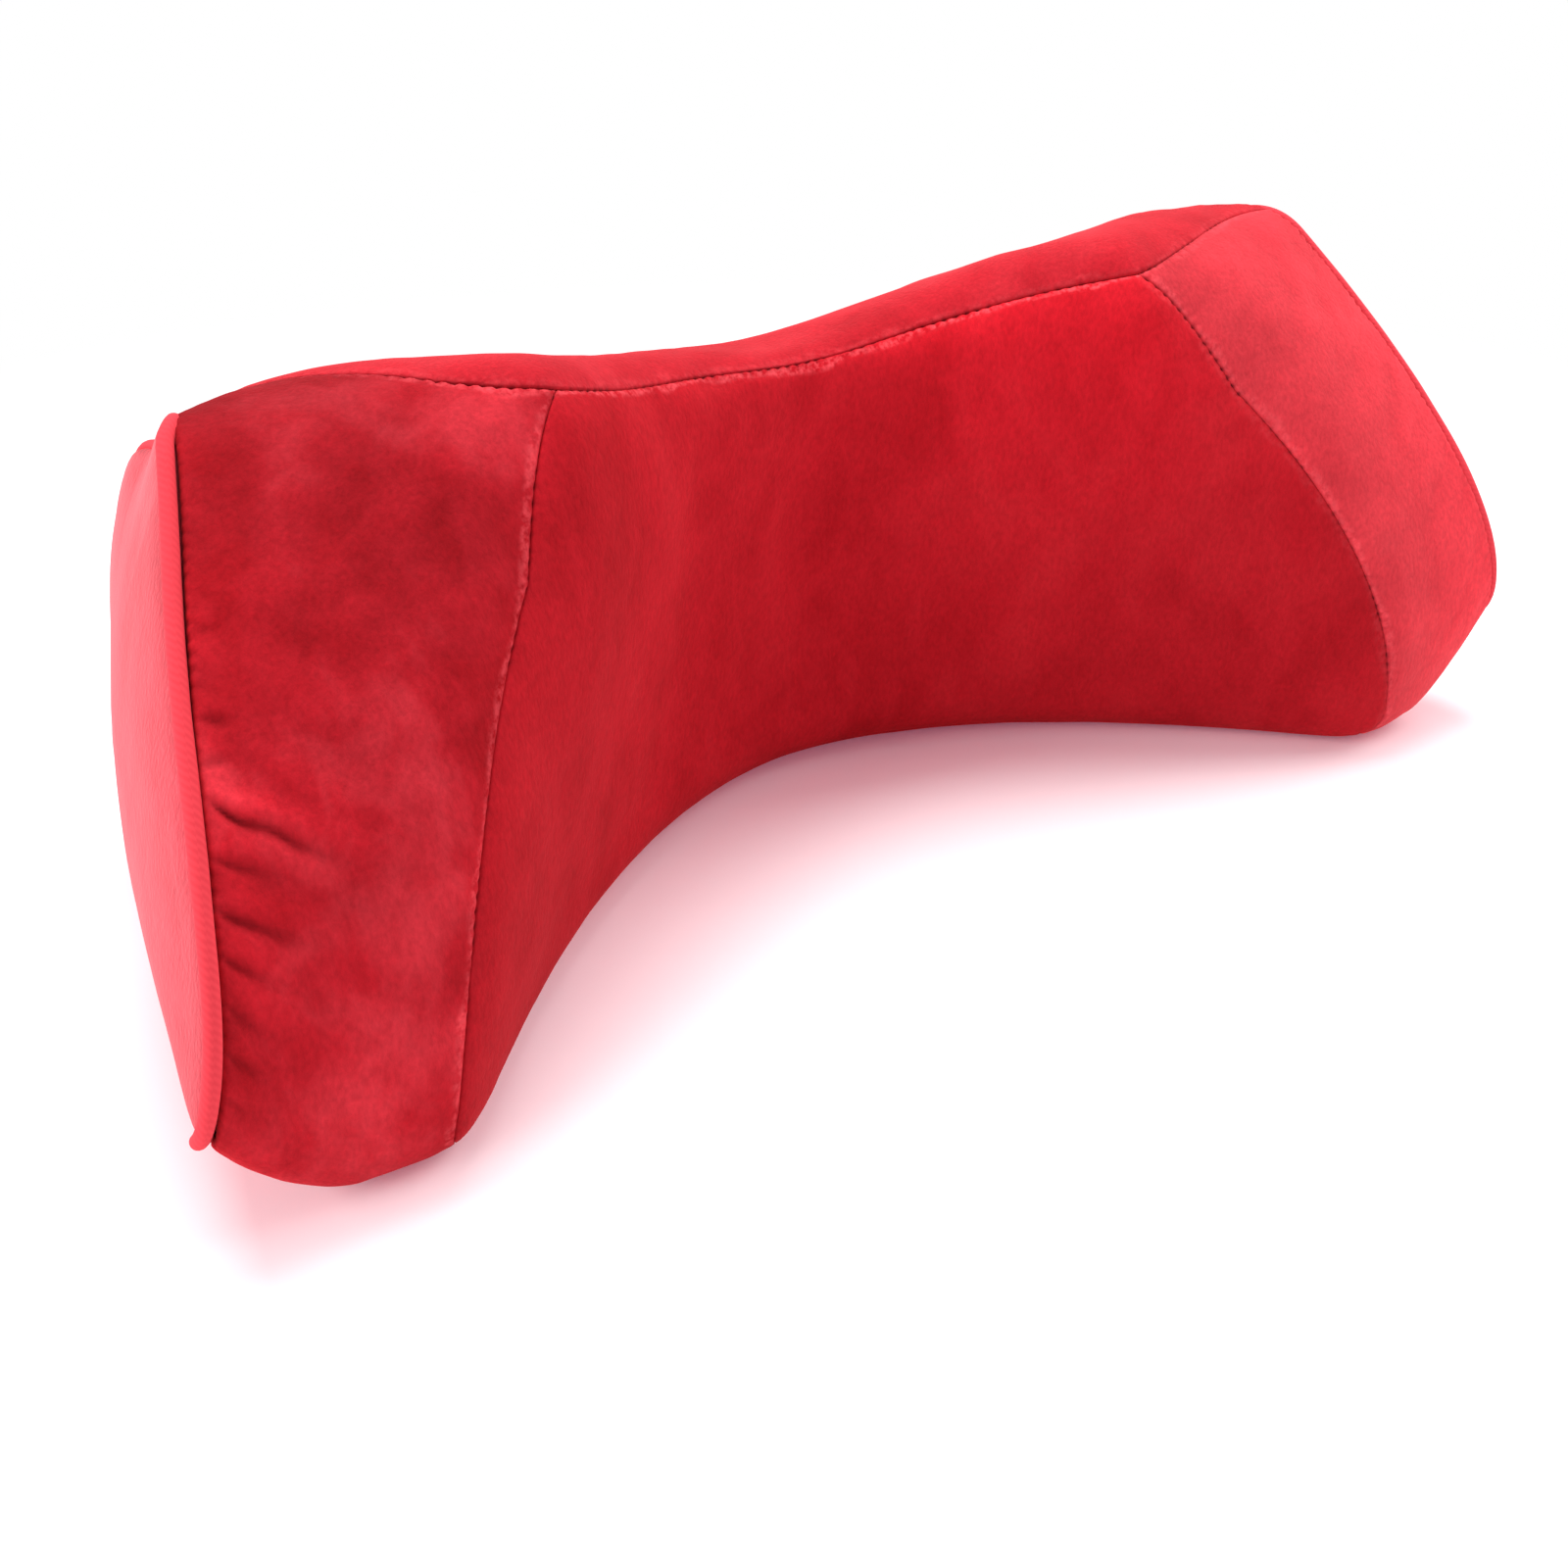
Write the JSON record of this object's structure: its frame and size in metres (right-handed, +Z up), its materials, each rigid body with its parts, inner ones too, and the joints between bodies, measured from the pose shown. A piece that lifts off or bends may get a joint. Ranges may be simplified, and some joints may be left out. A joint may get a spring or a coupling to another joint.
{
  "type": "car neck pillow",
  "caption": "Plush car seat neck pillow with a curved hollow for the neck, rounded lobes, piped ends and an elastic headrest strap behind.",
  "frame": {"origin": "on the ground under the middle of the pillow's box, as it lies on its flat base", "axes": "+X along the length to the right end, +Y from the neck hollow to the back, +Z up"},
  "size_m": [0.2954, 0.1304, 0.1084],
  "materials": {
    "filling": "open-cell polyurethane foam",
    "cover": "short-pile plush velvet",
    "piping": "velvet rolled over a cord",
    "elastic": "flat woven elastic"
  },
  "bodies": {
    "root": {"foam_core": "filling", "neck_panel": "cover", "left_wing_panel": "cover", "right_wing_panel": "cover", "back_panel": "cover", "base_panel": "cover", "left_end_panel": "cover", "right_end_panel": "cover", "left_piping": "piping", "right_piping": "piping", "back_strap": "elastic"}
  },
  "joints": []
}
